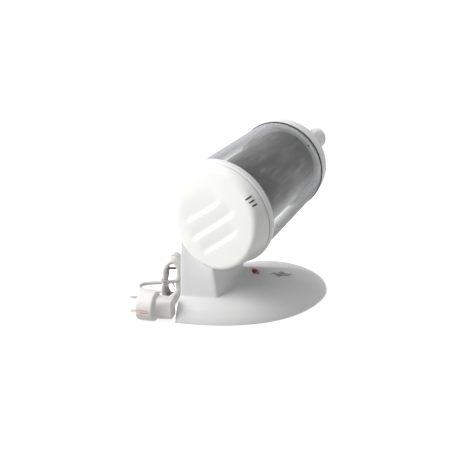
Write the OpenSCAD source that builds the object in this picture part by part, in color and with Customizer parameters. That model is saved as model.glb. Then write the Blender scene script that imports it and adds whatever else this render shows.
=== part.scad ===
/* [Frame] */
// Sideways shift that centres the finished box on the origin
off_x = -9; // [-30:0.1:30]
// Lengthwise shift that centres the finished box on the origin
off_y = -85.4; // [-150:0.1:0]
// Height of the drum axis above the ground at the front rim
axis_h = 140.9; // [120:0.1:160]
// Upward slope of the drum axis towards the rear, in degrees
tilt = 14.3; // [5:0.1:25]

/* [Drum] */
// Radius of the front flange rim
rim_r = 66; // [55:0.5:80]
// Outer radius of the clear tube
tube_r = 63.5; // [50:0.5:75]
// Wall of the clear tube
tube_t = 3; // [2:0.5:5]
// Visible length of the clear tube behind the rim
tube_l = 143.4; // [100:0.1:180]
// Thickness of the front flange
flange_t = 9; // [6:0.5:14]
// Outer radius of the dark reflector cylinder
refl_r = 48.4; // [35:0.1:55]
// Thickness of the black gasket at the end of the tube
gasket_t = 2.6; // [1:0.1:4]
// Depth of the rear dome
dome_l = 50; // [30:1:70]

/* [Cover] */
// Radius of the cover at its rear edge
cover_r = 64; // [55:0.5:70]
// Radius of the slanted face of the cover
face_r = 54.5; // [45:0.5:62]
// Distance of the upright face plane in front of the rim centre
face_y = 28.4; // [20:0.1:40]
// Inner radius of the cover
cover_in_r = 52; // [45:0.5:58]
// Depth of the finger flutes in the face
flute_d = 2.2; // [1:0.1:3]
// Twist from locked to open, in degrees
cover_twist = 40; // [30:1:60]

/* [Ports] */
// Distance of each port axis right or left of the drum axis
port_x = 28; // [15:0.5:40]
// Distance of each port axis above or below the drum axis
port_v = 21; // [10:0.5:35]
// Bore of each port
port_bore_r = 8; // [4:0.5:12]
// Outer radius of the union nut
nut_r = 16; // [13:0.5:20]
// Reach of the ports behind the end of the tube
port_l = 72; // [60:1:90]

/* [Stand] */
// Thickness of the stand shell
shell_t = 3; // [2:0.5:5]
// Height of the shell's lower edge above the ground
foot_gap = 1.2; // [0.5:0.1:4]

/* [Supply] */
// Radius of the mains cord
cord_r = 2.8; // [2:0.1:4]
// Height of the hanked cord
hank_h = 68; // [50:1:110]
// Width of the hanked cord across its loops
hank_w = 27.6; // [20:0.1:50]
// Depth of the hanked cord across its turns
hank_d = 46; // [20:1:60]
// Length of the tapered strain relief outside the stand
relief_l = 21; // [20:1:60]
// Radius of the plug's head
plug_r = 18.4; // [16:0.1:20]
// Direction of the plug from its pins to its grip, in degrees
plug_turn = 22.3; // [0:0.1:60]
// Length of the boot on the plug
boot_l = 20; // [20:1:60]
// Distance that the power button travels
press = 1.5; // [0.5:0.1:3]

/* [Hidden] */
tube_in = tube_r - tube_t;
c_t = cos(tilt);
s_t = sin(tilt);
dome_end = tube_l + dome_l;
q = 64;

/* [Placing] */
module place() { translate([off_x, off_y, 0]) children(); }
// Drum frame: z runs along the axis to the rear from the rim, -y is up
module drum(u = 0) {
    place() translate([0, 0, axis_h]) rotate([tilt - 90, 0, 0]) translate([0, 0, u]) children();
}
module tube_of(r0, r1, h, n = q) {
    difference() {
        cylinder(r = r1, h = h, $fn = n);
        translate([0, 0, -1]) cylinder(r = r0, h = h + 2, $fn = n);
    }
}
module sector(r0, r1, h, a) {
    rotate([0, 0, -a / 2]) rotate_extrude(angle = a, $fn = q) translate([r0, 0]) square([r1 - r0, h]);
}

/* [Outline of the base] */
function bez(p, t) = pow(1 - t, 3) * p[0] + 3 * pow(1 - t, 2) * t * p[1]
    + 3 * (1 - t) * t * t * p[2] + pow(t, 3) * p[3];
seg_n = 13;
segs = [[[-45, -45], [42, -12], [84, 43], [84, 118]], [[84, 118], [84, 165], [52, 208], [5, 208]],
    [[5, 208], [-37, 208], [-66, 155], [-66, 90]], [[-66, 90], [-66, 40], [-56, -10], [-45, -45]]];
outline = [for (s = segs) for (i = [0:seg_n - 1]) bez(s, i / seg_n)];
n_out = len(outline);
// Corners of the neck at its foot and at its top: front left, front right, rear right, rear left
foot = [[-53, -24, 28], [-11, 0, 26], [-13, 68, 46], [-52, 58, 40]];
top = [[-61, -9], [-17, -2], [-17, 66], [-60, 56]];
// Outline samples fall to the neck sides in these shares: corner 0, then front, right, rear and left sides
cut = [0, 5, 20, 36, n_out];
function side(i) = i < cut[1] ? 0 : i < cut[2] ? 1 : i < cut[3] ? 2 : 3;
function part_of(i) = let (k = side(i)) (i - cut[k]) / (cut[k + 1] - cut[k]);
function on_ring(c, i) = let (k = side(i)) c[k] * (1 - part_of(i)) + c[(k + 1) % 4] * part_of(i);
function middle(c) = (c[0] + c[1] + c[2] + c[3]) / 4;
function inset(p, m, d) = let (v = [m[0] - p[0], m[1] - p[1]], l = norm(v))
    [p[0] + v[0] / l * d, p[1] + v[1] / l * d, p[2]];
// Level 0 is the lower edge, the dome follows, then the neck up to the drum, then the saddle under the drum
dome_n = 6;
sad_n = 3;
function rise(t) = sin(90 * pow(t, 0.6)) * 0.65 + 0.35 * t * t;
function under_drum(p, r) = axis_h + p[1] * tan(tilt) - sqrt(r * r - p[0] * p[0]) / c_t;
function level(j, i, d) =
    let (f = on_ring(foot, i), o = [outline[i][0], outline[i][1], foot_gap], m = middle(foot),
        a = inset(o, m, d), b = inset(f, m, d), t = j / dome_n)
    [a[0] + (b[0] - a[0]) * t, a[1] + (b[1] - a[1]) * t,
        foot_gap + (f[2] - foot_gap) * rise(t) + 4 * min(1, 3 * t) * (1 - t) - d * min(1, 2 * t)];
function saddle(j, i, d) =
    let (p = inset(on_ring(top, i), middle(top), d), m = middle(top), t = j / sad_n,
        w = [p[0] + (m[0] - p[0]) * t, p[1] + (m[1] - p[1]) * t])
    [w[0], w[1], under_drum(w, rim_r + d)];
function skin(d) = concat(
    [for (j = [0:dome_n]) for (i = [0:n_out - 1]) level(j, i, d)],
    [for (j = [0:sad_n - 1]) for (i = [0:n_out - 1]) saddle(j, i, d)],
    [[middle(top)[0], middle(top)[1], under_drum(middle(top), rim_r + d)]]);
module shell_solid(d) {
    rings = dome_n + 1 + sad_n;
    k = rings * n_out + 1;
    function strip(s0, flip) = concat(
        [for (j = [0:rings - 2]) for (i = [0:n_out - 1]) for (h = [0, 1])
            let (a = s0 + j * n_out + i, b = s0 + j * n_out + (i + 1) % n_out,
                f = h == 0 ? [a, a + n_out, b] : [b, a + n_out, b + n_out])
            flip ? [f[2], f[1], f[0]] : f],
        [for (i = [0:n_out - 1])
            let (last = s0 + (rings - 1) * n_out, a = last + i, b = last + (i + 1) % n_out, c = s0 + k - 1)
            flip ? [b, c, a] : [a, c, b]]);
    polyhedron(points = concat(skin(0), skin(d)), convexity = 6, faces = concat(
        strip(0, false), strip(k, true),
        [for (i = [0:n_out - 1]) for (h = [0, 1]) let (b = (i + 1) % n_out)
            h == 0 ? [i, b, k + i] : [b, k + b, k + i]]));
}
base_spots = [[-34, -22], [50, 56], [62, 140], [-30, 170]];
screw_spots = [[-20, -16], [60, 90], [20, 178], [-50, 120]];

/* [Stand] */
module stand_shell() color("white") difference() {
    place() shell_solid(shell_t);
    // Button hole
    place() translate([1, 76, 10]) cylinder(r = 5.3, h = 40, $fn = 32);
    // Cord hole
    place() translate([-54, 75, 8.5]) rotate([0, -90, 0]) cylinder(r = 5, h = 24, $fn = 32);
}
module base_plate() color("gainsboro") place() difference() {
    union() {
        translate([0, 0, foot_gap]) linear_extrude(2.4) offset(delta = -6.5) polygon(outline);
        for (x = [-10, 46], y = [88, 124]) translate([x, y, foot_gap]) cylinder(r = 3.5, h = 5.8, $fn = 24);
        translate([-5, 70, foot_gap]) cube([12, 12, 7.4]);
    }
    for (p = screw_spots) translate([p[0], p[1], 0]) cylinder(r = 1.8, h = 8, $fn = 20);
    for (p = base_spots) translate([p[0], p[1], 0]) cylinder(r = 2.5, h = 8, $fn = 20);
    for (i = [0:5]) translate([-20 + i * 8, 110, 0]) cylinder(r = 1.6, h = 8, $fn = 16);
}
module base_screws() color("silver") place() for (p = screw_spots) translate([p[0], p[1], 0]) {
    translate([0, 0, 0.4]) cylinder(r = 3, h = foot_gap - 0.4, $fn = 24);
    translate([0, 0, foot_gap]) cylinder(r = 1.5, h = 7, $fn = 20);
}
module rubber_feet() color("dimgray") place() for (p = base_spots) translate([p[0], p[1], 0]) {
    cylinder(r = 6, h = foot_gap, $fn = 32);
    translate([0, 0, foot_gap]) cylinder(r = 2.4, h = 3.2, $fn = 20);
}
module ballast_board() color("darkgreen") place() difference() {
    translate([-14, 84, 7]) cube([64, 44, 1.6]);
    for (x = [-10, 46], y = [88, 124]) translate([x, y, 6]) cylinder(r = 1.6, h = 4, $fn = 16);
}
module ballast_choke() color("goldenrod") place() translate([30, 96, 8.6]) {
    cube([16, 20, 3]);
    translate([8, 10, 3]) cylinder(r = 6.5, h = 4, $fn = 32);
    translate([0, 0, 7]) cube([16, 20, 2]);
}
module ballast_capacitors() color("navy") place() for (i = [0:2])
    translate([-4 + i * 11, 116, 8.6]) cylinder(r = 4, h = 9, $fn = 24);
module terminal_block() color("ivory") place() translate([-8, 89, 8.6]) difference() {
    cube([24, 9, 7]);
    for (i = [0:2]) translate([4 + i * 8, 4.5, 1.5]) cylinder(r = 2, h = 7, $fn = 20);
}
module switch_body() color("dimgray") place() translate([1, 74, 0]) difference() {
    translate([-6, -4, 8.6]) cube([12, 12, 12]);
    translate([0, 2, 14]) cylinder(r = 2.1, h = 8, $fn = 24);
}
module power_button() color("red") place() translate([1, 76, 0]) {
    translate([0, 0, 16.2]) cylinder(r = 2.05, h = 16, $fn = 24);
    translate([0, 0, 31]) cylinder(r = 5, h = 9.2, $fn = 32);
}

/* [Mains supply] */
module cord_gland() color("dimgray") place() translate([0, 75, 8.5]) rotate([0, -90, 0]) {
    difference() {
        union() {
            translate([0, 0, 56]) cylinder(r = 4.9, h = 12, $fn = 32);
            translate([0, 0, 67]) cylinder(r = 7, h = 2, $fn = 32);
            translate([0, 0, 69]) cylinder(r1 = 5.8, r2 = cord_r + 0.8, h = relief_l, $fn = 32);
        }
        translate([0, 0, 50]) cylinder(r = cord_r, h = 40, $fn = 32);
    }
}
function tangent(p, i) = let (v = p[min(i + 1, len(p) - 1)] - p[max(i - 1, 0)]) v / norm(v);
function crm(p, k, t) = let (a = p[max(k - 1, 0)], b = p[k], c = p[k + 1], d = p[min(k + 2, len(p) - 1)])
    0.5 * (2 * b + (c - a) * t + (2 * a - 5 * b + 4 * c - d) * t * t + (3 * b - a - 3 * c + d) * t * t * t);
function smooth_path(p, n) = concat([for (k = [0:len(p) - 2]) for (j = [0:n - 1]) crm(p, k, j / n)],
    [p[len(p) - 1]]);
module sweep(path, r, n = 10) {
    m = len(path);
    polyhedron(convexity = 6, points = [for (i = [0:m - 1])
            let (t = tangent(path, i), h0 = abs(t[2]) > 0.9 ? [1, 0, 0] : [0, 0, 1],
                a = cross(t, h0) / norm(cross(t, h0)), b = cross(a, t))
            for (j = [0:n - 1]) path[i] + r * (a * cos(360 * j / n) + b * sin(360 * j / n))],
        faces = concat([[for (j = [n - 1:-1:0]) j]],
            [for (i = [0:m - 2]) for (j = [0:n - 1]) for (h = [0, 1])
            let (a = i * n + j, b = i * n + (j + 1) % n) h == 0 ? [a, b, a + n] : [b, b + n, a + n]],
            [[for (j = [0:n - 1]) (m - 1) * n + j]]));
}
// From the grommet out along the floor, round a loop and up into the hank
cord_run = [[-58, 75, 8.5], [-74, 75, 8.5], [-90, 75, 8.4], [-103, 73, 5.6], [-115, 66, 3.2],
    [-125, 54, 2.9], [-134.7, 41.5, 2.9], [-146, 32, 2.9], [-155.5, 23, 2.9], [-158.3, 13.5, 2.9],
    [-152.5, 4, 2.9], [-142, 1, 2.9], [-131, 5.5, 2.9], [-124, 8.6, 2.95], [-117.4, 11.8, 4.6],
    [-112, 13.6, 11], [-109.2, 14.4, 21]];
// From the front of the hank into the plug's strain relief
lead_run = [[-68.2, -8.6, 30], [-67.2, -10.5, 27.6], [-65, -14.5, 26.6], [-62.4, -19, 26.8],
    [-61.1, -23, 26.3], [-60.9, -25.5, 25.5]];
hank_turn = 33.3;
hank_at = [-71, -13, 0];
module power_cord() color("whitesmoke") place() sweep(smooth_path(cord_run, 3), cord_r);
module plug_lead() color("whitesmoke") place() sweep(smooth_path(lead_run, 3), cord_r);
module hank_place() { place() translate(hank_at) rotate([0, 0, hank_turn]) children(); }
module cord_hank() color("whitesmoke") hank_place() translate([0, hank_d, 0]) rotate([90, 0, 0])
    linear_extrude(hank_d) hull() {
        translate([0, hank_w / 2]) circle(r = hank_w / 2, $fn = 48);
        translate([0, hank_h - hank_w / 2]) circle(r = hank_w / 2, $fn = 48);
    }
module cord_tie() color("gainsboro") hank_place() translate([0, 0, 36]) difference() {
    translate([-hank_w / 2 - 1.2, -1.2, 0]) cube([hank_w + 2.4, hank_d + 2.4, 6]);
    translate([-hank_w / 2, 0, -1]) cube([hank_w, hank_d, 8]);
}
module plug_place() {
    place() translate([-78.1, -52.4, plug_r]) rotate([0, 0, plug_turn]) rotate([0, 90, 0]) children();
}
module plug_body() color("whitesmoke") plug_place() difference() {
    union() {
        translate([0, 0, -12.5]) cylinder(r1 = plug_r - 1, r2 = plug_r, h = 1.5, $fn = 64);
        translate([0, 0, -11]) cylinder(r = plug_r, h = 20.5, $fn = 64);
        // Finger grip narrows to an upright block
        hull() {
            translate([0, 0, 9]) cylinder(r = 14, h = 1, $fn = 48);
            translate([-12, -8.5, 28]) cube([24, 17, 2]);
        }
    }
    for (a = [90, -90]) rotate([0, 0, a]) translate([plug_r - 3.2, -2.6, -16]) cube([6, 5.2, 21]);
    for (v = [-9.5, 9.5]) translate([v, 0, -16]) cylinder(r = 2.45, h = 12, $fn = 32);
}
module plug_boot() color("whitesmoke") place() translate([-60.4, -41, 20.4]) rotate([0, 0, 92])
    rotate([0, 72, 0]) difference() {
        cylinder(r1 = 6.2, r2 = cord_r + 1, h = boot_l, $fn = 32);
        translate([0, 0, boot_l - 6]) cylinder(r = cord_r, h = 8, $fn = 32);
    }
module plug_pins() color("silver") plug_place() for (v = [-9.5, 9.5]) translate([v, 0, -28]) {
    translate([0, 0, 2]) cylinder(r = 2.4, h = 22, $fn = 32);
    cylinder(r1 = 1.2, r2 = 2.4, h = 2, $fn = 32);
}
module plug_earth_clips() color("peru") plug_place() for (a = [90, -90]) rotate([0, 0, a])
    translate([plug_r - 3.2, -2.2, -11.5]) cube([2.4, 4.4, 16.4]);
lamp_run = [[-2, 93, 12.4], [-14, 80, 15], [-30, 50, 26], [-36, 30, 44], [-36, 18, 62], [-34, 12, 85]];
module lamp_lead() color("black") place() sweep(smooth_path(lamp_run, 4), 2.2, 8);

/* [Drum body] */
module neck_screws() color("silver") for (a = [126, 114]) drum(-5) rotate([0, 0, a])
    rotate([0, 90, 0]) {
        translate([0, 0, tube_r + 0.5]) cylinder(r = 1.6, h = 5.5, $fn = 20);
        translate([0, 0, 69.4]) cylinder(r = 3.4, h = 2.2, $fn = 24);
    }
module saddle_pads() color("dimgray") for (u = [12, 34]) drum(u) rotate([0, 0, 123])
    sector(tube_r, rim_r, 10, 26);
module front_housing() color("white") difference() {
    drum(-flange_t) union() {
        rotate_extrude($fn = 96) polygon([[20, 4], [rim_r - 10, 4], [rim_r - 10, 0], [rim_r - 1.5, 0],
            [rim_r, 1.5], [rim_r, flange_t - 1.5], [rim_r - 1.5, flange_t], [20, flange_t]]);
        // Bayonet collar with three lugs
        translate([0, 0, -3.4]) tube_of(40, 44, 8);
        for (a = [0:120:359]) rotate([0, 0, a]) translate([0, 0, -3.4]) sector(43.8, 48.5, 1.2, 24);
    }
    drum(-6) tube_of(tube_in - 0.1, tube_r + 0.1, 8, 96);
    drum(-7) tube_of(tube_in + 0.4, tube_r - 0.4, 2, 96);
    drum(-flange_t - 1) tube_of(56.4, 58.4, 2.4, 96);
    for (a = [126, 114]) drum(-5) rotate([0, 0, a]) translate([tube_r + 0.4, 0, 0]) rotate([0, 90, 0])
        cylinder(r = 1.6, h = 6, $fn = 20);
}
module front_tube_seal() color("black") drum(-7) tube_of(tube_in + 0.4, tube_r - 0.4, 1, 96);
module clear_tube() color("lightcyan", 0.3) drum(-6) tube_of(tube_in, tube_r, tube_l + 6, 96);
module rear_collar() color("lightgray") drum(tube_l) difference() {
    union() {
        translate([0, 0, -4]) cylinder(r = tube_in - 0.1, h = 3, $fn = 96);
        translate([0, 0, -1]) tube_of(55, tube_in - 0.1, 13, 96);
    }
    translate([0, 0, -5]) cylinder(r = refl_r + 1, h = 20, $fn = 96);
    rotate([0, 0, -36]) translate([58, 0, -5]) cylinder(r = 1.8, h = 6, $fn = 24);
}
module rear_gasket() color("black") drum(tube_l) tube_of(tube_in, tube_r + 0.5, gasket_t, 96);
// Section of the rear dome, outside then inside, as radius and distance behind the tube
cap_outer = [[63.3, 14], [62.4, 20], [60.2, 26], [56.6, 32], [51.5, 37.6], [44, 42.6], [35, 46.4],
    [24, 48.8], [12, 49.8], [0, 50]];
cap_inner = [[0, 46.6], [12, 46.4], [23.4, 45.4], [33.6, 43], [42, 39.6], [49, 35], [53.8, 29.8],
    [57, 24.4], [59, 18.6], [tube_in, 13]];
module rear_cap() color("white") difference() {
    drum(tube_l) rotate_extrude($fn = 96)
        polygon(concat([[tube_in, gasket_t], [63.3, gasket_t]], cap_outer, cap_inner));
    for (k = [1, -1]) drum(tube_l) translate([k * port_x, -k * port_v, 20])
        cylinder(r = 11, h = 40, $fn = q);
}
module steel_reflector() color("dimgray") drum(4) tube_of(refl_r - 0.5, refl_r, tube_l + 4, 96);
module reflector_front_ring() color("silver") drum(0) difference() {
    union() {
        cylinder(r = refl_r + 0.6, h = 4, $fn = 96);
        translate([0, 0, 4]) cylinder(r = refl_r - 0.5, h = 4, $fn = 96);
    }
    translate([0, 0, -1]) cylinder(r = 20, h = 12, $fn = q);
}
module reflector_rear_ring() color("silver") drum(tube_l + 4) difference() {
    union() {
        cylinder(r = refl_r - 0.5, h = 4, $fn = 96);
        translate([0, 0, 4]) cylinder(r = refl_r + 0.6, h = 1, $fn = 96);
    }
    translate([0, 0, -1]) cylinder(r = 36, h = 12, $fn = q);
}

/* [Lamp] */
module quartz_sleeve() color("azure", 0.5) drum(-8) rotate_extrude($fn = q)
    polygon([[12.6, 0], [14, 0], [14, 128], [12, 134], [7, 138], [0, 139.5],
        [0, 138], [6.4, 136.4], [10.8, 133], [12.6, 127.6]]);
module sleeve_gland_nut() color("silver") drum(-8.9) difference() {
    cylinder(r = 19.6, h = 3.9, $fn = q);
    translate([0, 0, -1]) cylinder(r = 14, h = 6, $fn = q);
    for (a = [0:60:359]) rotate([0, 0, a]) translate([19.6, 0, -1]) cylinder(r = 2, h = 6, $fn = 20);
}
module sleeve_o_ring() color("black") drum(-5) tube_of(14, 20, 2);
module lamp_socket() color("white") drum(-20) difference() {
    cylinder(r = 12.4, h = 11, $fn = q);
    for (v = [-3.5, 3.5]) translate([v, 0, 5]) cylinder(r = 1.2, h = 8, $fn = 20);
}
module uv_lamp_base() color("ivory") drum(-9) union() {
    cylinder(r = 12.4, h = 14, $fn = q);
    for (v = [-3.5, 3.5]) translate([v, 0, -4]) cylinder(r = 1.2, h = 4, $fn = 20);
}
module uv_lamp_tubes() color("lavender") drum(5) {
    for (v = [-6.2, 6.2]) translate([v, 0, 0]) cylinder(r = 5.4, h = 104, $fn = 32);
    translate([-6.2, 0, 98]) rotate([0, 90, 0]) cylinder(r = 3, h = 12.4, $fn = 32);
}

/* [Ports] */
module port_at(k) { drum(tube_l) translate([k * port_x, -k * port_v, 0]) children(); }
module spigot(k) port_at(k) difference() {
    union() {
        translate([0, 0, 30]) cylinder(r = 10.9, h = port_l - 34, $fn = q);
        translate([0, 0, 33]) cylinder(r = 12.6, h = 1.6, $fn = q);
        translate([0, 0, port_l - 6]) cylinder(r = 12.2, h = 2, $fn = q);
    }
    translate([0, 0, 20]) cylinder(r = port_bore_r, h = port_l, $fn = q);
}
module union_nut(k) port_at(k) difference() {
    union() {
        translate([0, 0, 52]) cylinder(r = nut_r - 1, h = port_l - 54, $fn = q);
        translate([0, 0, port_l - 5]) cylinder(r = nut_r, h = 4, $fn = q);
        translate([0, 0, port_l - 1]) cylinder(r1 = nut_r, r2 = nut_r - 1.4, h = 1.4, $fn = q);
    }
    translate([0, 0, 50]) cylinder(r = 10.96, h = port_l - 57, $fn = q);
    translate([0, 0, port_l - 7]) cylinder(r = 12.6, h = 4.2, $fn = q);
    translate([0, 0, 50]) cylinder(r = 9, h = port_l, $fn = q);
    for (i = [0:11]) rotate([0, 0, i * 30]) translate([nut_r - 0.4, 0, 50.5])
        cylinder(r = 1, h = port_l - 57, $fn = 16);
}
module port_ring(k) port_at(k) translate([0, 0, port_l - 4]) tube_of(9.2, 12, 1);
module outlet_spigot() color("white") spigot(1);
module outlet_nut() color("white") union_nut(1);
module outlet_o_ring() color("black") port_ring(1);
module inlet_spigot() color("white") spigot(-1);
module inlet_nut() color("white") union_nut(-1);
module inlet_o_ring() color("black") port_ring(-1);

/* [Cover] */
module face_disc(y, r, dx = 0) {
    intersection() {
        drum(-80) translate([dx, 0, 0]) cylinder(r = r, h = 90, $fn = 96);
        place() translate([-90, -y, 0]) cube([180, 0.4, 260]);
    }
}
module cover_lugs() drum(-flange_t - 1.9) for (a = [0:120:359]) rotate([0, 0, a])
    sector(45, cover_in_r + 0.6, 1.3, 24);
module front_cover() color("whitesmoke") union() {
    cover_lugs();
    cover_shell();
}
module cover_outer() intersection() {
    hull() {
        drum(-flange_t - 4.6) cylinder(r = cover_r, h = 4, $fn = 96);
        face_disc(face_y - 4, 60.2, 1);
        face_disc(face_y - 1.2, 58.6, 1.6);
        face_disc(face_y, face_r + 1.5, 2);
    }
    drum(-80) cylinder(r = cover_r + 20, h = 80 - flange_t - 0.7, $fn = 96);
}
// Lower edge of each finger flute as left and right ends, from the rim centre
flutes = [[[-34.9, -11.6], [11.4, 16.6]], [[-26.9, -32.8], [28.9, 5.8]], [[-10, -46.2], [34.4, -14.2]]];
module cover_flutes() for (f = flutes) let (d = f[1] - f[0])
    place() translate([f[0][0], -face_y, axis_h + f[0][1]]) rotate([0, -atan2(d[1], d[0]), 0])
        rotate([90, 0, 90]) linear_extrude(norm(d)) polygon([[-1, -0.8], [flute_d, 1.4], [-1, 16]]);
module cover_shell() difference() {
    cover_outer();
    cover_flutes();
    intersection() {
        drum(-80) cylinder(r = cover_in_r, h = 80, $fn = 96);
        place() translate([-90, 4 - face_y, 0]) cube([180, 100, 260]);
    }
}
module cover_seal() color("dimgray") drum(-flange_t - 0.4) tube_of(56.4, 58.4, 1.8, 96);
module index_bars() color("dimgray") for (i = [-1:1]) drum(-19.4) rotate([0, 0, -29.3 + i * 4.8])
    translate([59.7, -0.9, 0]) rotate([0, 12, 0]) cube([1.6, 1.8, 5.2]);

stand_shell();
base_plate();
base_screws();
rubber_feet();
ballast_board();
ballast_choke();
ballast_capacitors();
terminal_block();
switch_body();
power_button();
cord_gland();
power_cord();
cord_hank();
plug_lead();
cord_tie();
plug_body();
plug_boot();
plug_pins();
plug_earth_clips();
lamp_lead();
neck_screws();
saddle_pads();
front_housing();
front_tube_seal();
clear_tube();
rear_collar();
rear_gasket();
rear_cap();
steel_reflector();
reflector_front_ring();
reflector_rear_ring();
quartz_sleeve();
sleeve_gland_nut();
sleeve_o_ring();
lamp_socket();
uv_lamp_tubes();
uv_lamp_base();
outlet_spigot();
outlet_nut();
outlet_o_ring();
inlet_spigot();
inlet_nut();
inlet_o_ring();
front_cover();
cover_seal();
index_bars();
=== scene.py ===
import math

import bmesh
import bpy
from mathutils import Matrix, Vector, noise


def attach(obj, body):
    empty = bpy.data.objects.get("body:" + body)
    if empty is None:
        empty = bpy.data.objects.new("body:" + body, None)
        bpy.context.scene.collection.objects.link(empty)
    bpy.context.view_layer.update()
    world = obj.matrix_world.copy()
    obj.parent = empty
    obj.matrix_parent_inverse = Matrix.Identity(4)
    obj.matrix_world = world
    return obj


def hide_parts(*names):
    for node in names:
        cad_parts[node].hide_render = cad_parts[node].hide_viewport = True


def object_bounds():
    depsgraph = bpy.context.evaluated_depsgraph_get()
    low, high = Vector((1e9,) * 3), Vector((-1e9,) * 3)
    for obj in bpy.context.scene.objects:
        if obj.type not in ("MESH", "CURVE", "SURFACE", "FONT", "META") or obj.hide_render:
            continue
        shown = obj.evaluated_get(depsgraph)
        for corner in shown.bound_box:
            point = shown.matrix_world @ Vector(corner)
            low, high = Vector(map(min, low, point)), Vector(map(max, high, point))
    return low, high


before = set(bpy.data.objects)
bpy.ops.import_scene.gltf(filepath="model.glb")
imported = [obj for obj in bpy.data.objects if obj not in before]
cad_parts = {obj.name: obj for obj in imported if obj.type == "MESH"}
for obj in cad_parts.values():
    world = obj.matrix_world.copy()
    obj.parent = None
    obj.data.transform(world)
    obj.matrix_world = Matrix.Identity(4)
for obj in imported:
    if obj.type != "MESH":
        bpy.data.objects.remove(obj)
CAD_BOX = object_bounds()

# ---------------------------------------------------------------- dimensions, in metres
MM = 0.001
OFF_X, OFF_Y = -9 * MM, -85.4 * MM           # shift of the design frame onto the row frame
AXIS_H = 140.9 * MM                          # height of the drum axis at the front rim
TILT = math.radians(14.3)                    # slope of the drum axis
RIM_R, FLANGE_T = 66 * MM, 9 * MM            # front rim
TUBE_R, TUBE_T, TUBE_L = 63.5 * MM, 3 * MM, 143.4 * MM
REFL_R = 48.4 * MM                           # reflector cylinder inside the tube, dark with painted reflection
GASKET_T = 2.6 * MM                          # black line between the tube and the rear dome
COVER_R, FACE_R, FACE_Y = 64 * MM, 54.5 * MM, 28.4 * MM
PORT_X, PORT_V, PORT_L = 28 * MM, 21 * MM, 72 * MM
SHELL_T, FOOT_GAP = 3 * MM, 1.2 * MM         # stand's wall, and its lower edge above the floor
CORD_R, CORD_LENGTH = 2.8 * MM, 1.4
HANK_W, HANK_H, HANK_D = 27.6 * MM, 68 * MM, 46 * MM
HANK_AT, HANK_TURN = (-71 * MM, -13 * MM, 0), math.radians(33.3)
RELIEF_L = 21 * MM                           # grommet's taper
# Places of the plug and its boot in the design frame, in millimetres, and their turns in degrees
PLUG_AT, PLUG_R, PLUG_TURN = (-78.1, -52.4, 18.4), 18.4 * MM, 22.3
BOOT_AT, BOOT_L, BOOT_TURN, BOOT_TILT = (-60.4, -41, 20.4), 20 * MM, 92, 72
CT, ST = math.cos(TILT), math.sin(TILT)


def place(x, y, z=0.0):
    """A point of the design frame in the row frame; all in metres."""
    return Vector((x + OFF_X, y + OFF_Y, z))


def place_mm(x, y, z=0.0):
    """A point of the design frame, given in millimetres, in the row frame in metres."""
    return place(x * MM, y * MM, z * MM)


def drum_matrix(u=0.0, x=0.0, v=0.0):
    """Local z runs along the drum axis to the rear and local -y is up, from the point (x, v, u)."""
    turn = Matrix(((1, 0, 0), (0, ST, CT), (0, -CT, ST))).to_4x4()
    return Matrix.Translation(place(0, 0, AXIS_H)) @ turn @ Matrix.Translation((x, -v, u))


# ---------------------------------------------------------------- mesh helpers
def finish_mesh(name, verts, faces, angle=35):
    """A closed-up, smooth-shaded mesh that stays sharp where faces meet at more than the angle."""
    mesh = bpy.data.meshes.new(name)
    mesh.from_pydata([tuple(p) for p in verts], [], faces)
    bm = bmesh.new()
    bm.from_mesh(mesh)
    bmesh.ops.remove_doubles(bm, verts=bm.verts, dist=1e-7)
    bmesh.ops.recalc_face_normals(bm, faces=bm.faces)
    bm.to_mesh(mesh)
    bm.free()
    mesh.shade_smooth()
    mesh.set_sharp_from_angle(angle=math.radians(angle))
    obj = bpy.data.objects.new(name, mesh)
    bpy.context.scene.collection.objects.link(obj)
    return steady(obj)


def steady(obj):
    """Lets large flat faces keep their own normals beside small rounded ones."""
    mod = obj.modifiers.new("normals", "WEIGHTED_NORMAL")
    mod.keep_sharp = True
    return obj


def rounded(points, steps=6, closed=False):
    """Corner points (r, z, fillet) as a smooth profile: each fillet becomes an arc."""
    out, n = [], len(points)
    for i, (r, z, f) in enumerate(points):
        p = Vector((r, z))
        if f <= 0 or (not closed and i in (0, n - 1)):
            out.append(p)
            continue
        a, b = Vector(points[i - 1][:2]), Vector(points[(i + 1) % n][:2])
        da, db = (a - p).normalized(), (b - p).normalized()
        half = da.angle(db) / 2
        cut = min(f / math.tan(half), 0.49 * (a - p).length, 0.49 * (b - p).length)
        s, e = p + da * cut, p + db * cut
        for k in range(steps + 1):
            t = k / steps
            out.append(s * (1 - t) ** 2 + p * (2 * t * (1 - t)) + e * t * t)
    return out


def profile(points, closed=False, steps=6):
    """The same for points in millimetres."""
    return rounded([(r * MM, z * MM, f * MM) for r, z, f in points], steps, closed)


def revolve(name, section, matrix, closed=False, seg=144, angle=35):
    """Turns a section of (r, z) about local z."""
    verts, faces, rings = [], [], []
    for r, z in section:
        start = len(verts)
        if r < 1e-6:
            verts.append(matrix @ Vector((0, 0, z)))
            rings.append([start] * seg)
            continue
        for k in range(seg):
            a = 2 * math.pi * k / seg
            verts.append(matrix @ Vector((r * math.cos(a), r * math.sin(a), z)))
        rings.append([start + k for k in range(seg)])
    pairs = list(zip(rings, rings[1:])) + ([(rings[-1], rings[0])] if closed else [])
    for lo, hi in pairs:
        for k in range(seg):
            quad = [lo[k], lo[(k + 1) % seg], hi[(k + 1) % seg], hi[k]]
            face = list(dict.fromkeys(quad))
            if len(face) > 2:
                faces.append(face)
    return finish_mesh(name, verts, faces, angle)


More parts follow.
